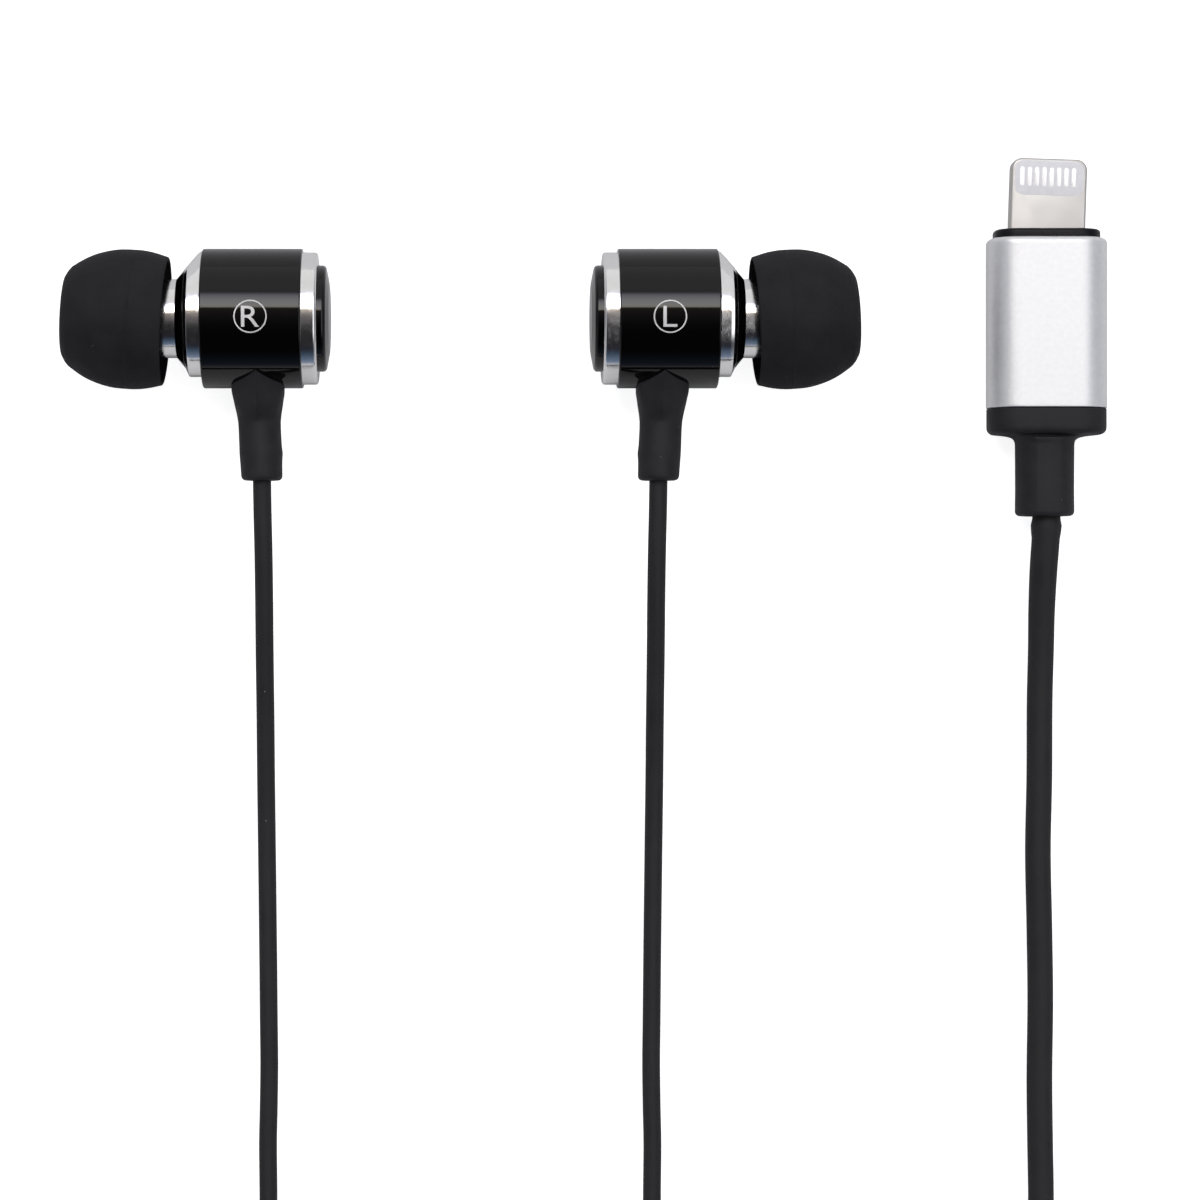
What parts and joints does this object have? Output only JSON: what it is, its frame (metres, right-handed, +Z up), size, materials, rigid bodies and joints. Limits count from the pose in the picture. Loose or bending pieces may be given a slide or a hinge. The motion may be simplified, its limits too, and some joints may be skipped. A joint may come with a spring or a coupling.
{
  "type": "wired earphones",
  "caption": "Wired in-ear earphones: turned black and chrome buds with soft ear tips, thin cords, a splitter and a flat reversible plug in a metal sleeve.",
  "frame": {"origin": "on the surface that the object lies on, midway between the two buds and under their common axis", "axes": "+X along both buds towards the plug, +Y towards the tip of the plug, +Z up from the surface"},
  "size_m": [0.098, 0.1596, 0.0122],
  "materials": {
    "silicone": "matte black silicone with a dusty bloom",
    "soft_rubber": "matte moulded rubber",
    "cord_rubber": "satin cord jacket",
    "black_gloss": "high gloss black lacquer",
    "chrome": "bright plated",
    "steel": "turned",
    "magnet": "nickel plated",
    "copper": "enamelled wire",
    "film": "thin clear amber film",
    "foam": "open foam",
    "laminate": "solder resist",
    "contact_board": "plated contacts on laminate",
    "pad_plastic": "pale moulded insulator",
    "chip_plastic": "moulded package",
    "collar_plastic": "black moulded plastic",
    "bead_blasted": "bead blasted and anodised silver",
    "nickel": "warm nickel plating",
    "tie": "soft band"
  },
  "bodies": {
    "root": {"nozzle_left": "chrome", "nozzle_mesh_left": "steel", "acoustic_filter_left": "foam", "front_cone_left": "black_gloss", "front_ring_left": "chrome", "barrel_left": "black_gloss", "rear_ring_left": "chrome", "back_cap_left": "black_gloss", "driver_frame_left": "steel", "driver_magnet_left": "magnet", "voice_coil_left": "copper", "diaphragm_left": "film", "terminal_board_left": "laminate", "cord_knot_left": "cord_rubber", "strain_relief_left": "soft_rubber", "nozzle_right": "chrome", "nozzle_mesh_right": "steel", "acoustic_filter_right": "foam", "front_cone_right": "black_gloss", "front_ring_right": "chrome", "barrel_right": "black_gloss", "rear_ring_right": "chrome", "back_cap_right": "black_gloss", "driver_frame_right": "steel", "driver_magnet_right": "magnet", "voice_coil_right": "copper", "diaphragm_right": "film", "terminal_board_right": "laminate", "cord_knot_right": "cord_rubber", "strain_relief_right": "soft_rubber", "plug_tongue": "nickel", "contact_pad_front": "pad_plastic", "contact_pad_back": "pad_plastic", "contact_board": "contact_board", "signal_chip": "chip_plastic", "plug_collar": "collar_plastic", "plug_sleeve": "bead_blasted", "plug_boot": "soft_rubber", "cord_crimp": "steel", "branch_cord_left": "cord_rubber", "branch_tail_left": "cord_rubber", "branch_coil_left": "cord_rubber", "branch_coil_tie_left": "tie", "branch_cord_right": "cord_rubber", "branch_tail_right": "cord_rubber", "branch_coil_right": "cord_rubber", "branch_coil_tie_right": "tie", "main_cord": "cord_rubber", "main_tail": "cord_rubber", "main_coil": "cord_rubber", "main_coil_tie": "tie", "splitter": "soft_rubber"},
    "right_tip": {"ear_tip_right": "silicone"},
    "left_tip": {"ear_tip_left": "silicone"}
  },
  "joints": [
    {"name": "right_tip_pull", "type": "slide", "parent": "root", "child": "right_tip", "axis": [-1, 0, 0], "range_m": [0, 0.008]},
    {"name": "left_tip_pull", "type": "slide", "parent": "root", "child": "left_tip", "axis": [1, 0, 0], "range_m": [0, 0.008]}
  ]
}
